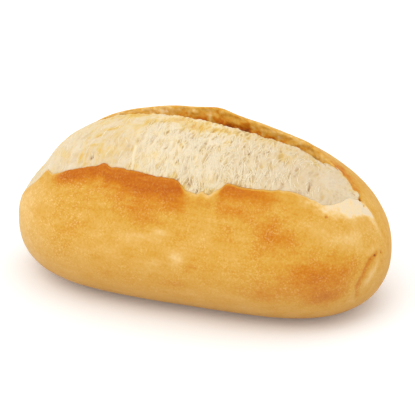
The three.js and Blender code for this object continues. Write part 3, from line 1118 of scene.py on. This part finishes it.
def set_surface(shader, roughness, specular, subsurface, radius, reach):
    """How matt a surface is, and how far light goes into it; reach is in millimetres."""
    shader.inputs["Roughness"].default_value = roughness
    shader.inputs["Specular IOR Level"].default_value = specular
    shader.inputs["Subsurface Weight"].default_value = subsurface
    shader.inputs["Subsurface Radius"].default_value = radius
    shader.inputs["Subsurface Scale"].default_value = reach * MM


# Colours of the crust and the crumb, from raw to dark, as (browning with painted light and shade,
# colour)
CRUST_STOPS = (
    (0.00, linear(224, 207, 180)),
    (0.14, linear(235, 209, 164)),
    (0.28, linear(229, 190, 120)),
    (0.40, linear(219, 171, 87)),
    (0.52, linear(211, 157, 58)),
    (0.66, linear(202, 125, 22)),
    (0.82, linear(184, 94, 12)),
    (1.00, linear(128, 66, 16)),
)
CRUMB_STOPS = (
    (0.00, linear(222, 206, 178)),
    (0.18, linear(220, 198, 158)),
    (0.34, linear(221, 191, 124)),
    (0.50, linear(220, 180, 86)),
    (0.75, linear(206, 145, 52)),
    (1.00, linear(165, 102, 40)),
)
RIDGE_COLOUR = linear(240, 227, 198)
# painted shade in the crumb's hollows
CAVITY_SHADE_COLOUR = linear(176, 140, 94)
FLOUR_COLOUR = linear(250, 218, 150)
# colour of the foot: painted shade, partly a dustier underside
DUST_AND_SHADE_COLOUR = linear(176, 132, 76)


def speckled(tree, colour):
    """Fine pale specks of flour over a colour, in patches."""
    fine = remapped(tree, noise_value(tree, 0.6, 1.5), 0.50, 0.70, 0.8)
    patchy = remapped(tree, noise_value(tree, 5.0, 3.0), 0.30, 0.62, 1.0)
    amount = math_value(tree, "MULTIPLY", fine, patchy)
    amount = math_value(tree, "MULTIPLY", amount, attribute_value(tree, "specks"))
    return mixed(tree, amount, colour, FLOUR_COLOUR)


def crust_material():
    """Browned crust: how baked it is, with its painted light and shade, picks the colour, under
    specks of flour and a darker foot that is partly painted shade.
    """
    material, tree, shader = new_material("crust")
    mottle = swing(tree, 0.9, 5.0, 0.26)
    streaks = swing(tree, 1.6, 3.0, 0.16, (6, 1, 1))
    level = math_value(tree, "ADD", attribute_value(tree, "bake_and_shading"),
                       math_value(tree, "ADD", mottle, streaks))
    baked = speckled(tree, colour_ramp(tree, level, CRUST_STOPS))
    # painted shade darkens the foot
    colour = mixed(tree, attribute_value(tree, "dust_and_shade"), baked, DUST_AND_SHADE_COLOUR)
    tree.links.new(colour, shader.inputs["Base Color"])
    set_surface(shader, 0.6, 0.12, 0.06, (1.0, 0.45, 0.15), 1.5)
    add_bump(tree, shader, noise_value(tree, 0.9, 3.0), 0.35, 0.25)
    return material


def crumb_material(name, subsurface):
    """Open crumb: paler along its ridges, with painted shade in its hollows."""
    material, tree, shader = new_material(name)
    mottle = swing(tree, 1.1, 3.0, 0.24, (1, 2.5, 2.5))
    level = math_value(tree, "ADD", attribute_value(tree, "bake_and_shading"), mottle)
    colour = colour_ramp(tree, level, CRUMB_STOPS)
    ridge_share = math_value(tree, "MULTIPLY", attribute_value(tree, "ridge"), 0.7)
    ridged = mixed(tree, ridge_share, colour, RIDGE_COLOUR)
    shaded = mixed(tree, attribute_value(tree, "cavity_shade"), ridged, CAVITY_SHADE_COLOUR)
    tree.links.new(shaded, shader.inputs["Base Color"])
    set_surface(shader, 0.85, 0.1, subsurface, (1.0, 0.8, 0.55), 1.6)
    add_bump(tree, shader, noise_value(tree, 0.5, 3.0, (1, 3, 3)), 0.25, 0.3)
    return material


def floor_material():
    """Plain and pale, with a little light of its own so that it meets the background unseen."""
    material, _, shader = new_material("floor")
    shader.inputs["Base Color"].default_value = (0.95, 0.95, 0.95, 1.0)
    shader.inputs["Roughness"].default_value = 1.0
    shader.inputs["Specular IOR Level"].default_value = 0.0
    shader.inputs["Emission Color"].default_value = WHITE
    shader.inputs["Emission Strength"].default_value = 0.08
    return material


# ---- the stage

# The camera and what it is aimed at, in degrees and metres
CAMERA_AZIMUTH = 20.0
CAMERA_ELEVATION = 24.4
CAMERA_DISTANCE = 0.90
AIM_HEIGHT = 0.032
AIM_RIGHT = 0.0018  # in the picture's plane
AIM_UP = -0.0030
CAMERA_LENS = 217.0  # millimetres
SENSOR_WIDTH = 36.0

FLOOR_REACH = 3000.0  # millimetres
WHITE = (1.0, 1.0, 1.0, 1.0)
# Square lights as (name, place, size, power), aimed at the middle of the roll
LIGHTS = (
    ("key", (-0.3, -0.6, 0.85), 0.8, 2.2),
    ("top", (0.15, 0.2, 0.9), 0.7, 1.0),
)
LIGHT_AIM = (0, 0, 0.03)


def add_aimed(name, data, place, direction):
    """Adds a camera or a light that looks in a direction."""
    thing = bpy.data.objects.new(name, data)
    thing.location = place
    thing.rotation_mode = "QUATERNION"
    thing.rotation_quaternion = direction.to_track_quat("-Z", "Y")
    bpy.context.collection.objects.link(thing)
    return thing


def make_camera():
    """The camera at the photograph's viewing angle."""
    data = bpy.data.cameras.new("camera")
    data.lens = CAMERA_LENS
    data.sensor_width = SENSOR_WIDTH
    azimuth, elevation = math.radians(CAMERA_AZIMUTH), math.radians(CAMERA_ELEVATION)
    back = Vector((math.sin(azimuth) * math.cos(elevation),
                   -math.cos(azimuth) * math.cos(elevation),
                   math.sin(elevation)))
    right = Vector((math.cos(azimuth), math.sin(azimuth), 0))
    aim = Vector((0, 0, AIM_HEIGHT)) + right * AIM_RIGHT + back.cross(right) * AIM_UP
    camera = add_aimed("camera", data, aim + back * CAMERA_DISTANCE, -back)
    bpy.context.scene.camera = camera


def make_floor():
    """The plain floor that the roll stands on."""
    corners = np.array([(-1, -1, 0), (1, -1, 0), (1, 1, 0), (-1, 1, 0)]) * FLOOR_REACH
    floor = mesh_object("floor", corners, [(0, 1, 2, 3)], {})
    floor.data.materials.append(floor_material())


def make_light():
    """Soft light from all round, with the two square lights over it."""
    world = bpy.data.worlds.new("studio")
    world.use_nodes = True
    world.node_tree.nodes["Background"].inputs["Color"].default_value = WHITE
    bpy.context.scene.world = world
    for name, place, size, power in LIGHTS:
        data = bpy.data.lights.new(name, "AREA")
        data.shape = "SQUARE"
        data.size = size
        data.energy = power
        add_aimed(name, data, place, Vector(LIGHT_AIM) - Vector(place))
    bpy.context.scene.view_settings.view_transform = "Standard"


make_camera()
make_floor()
make_light()
make_crust()
make_crumb()
make_threads()
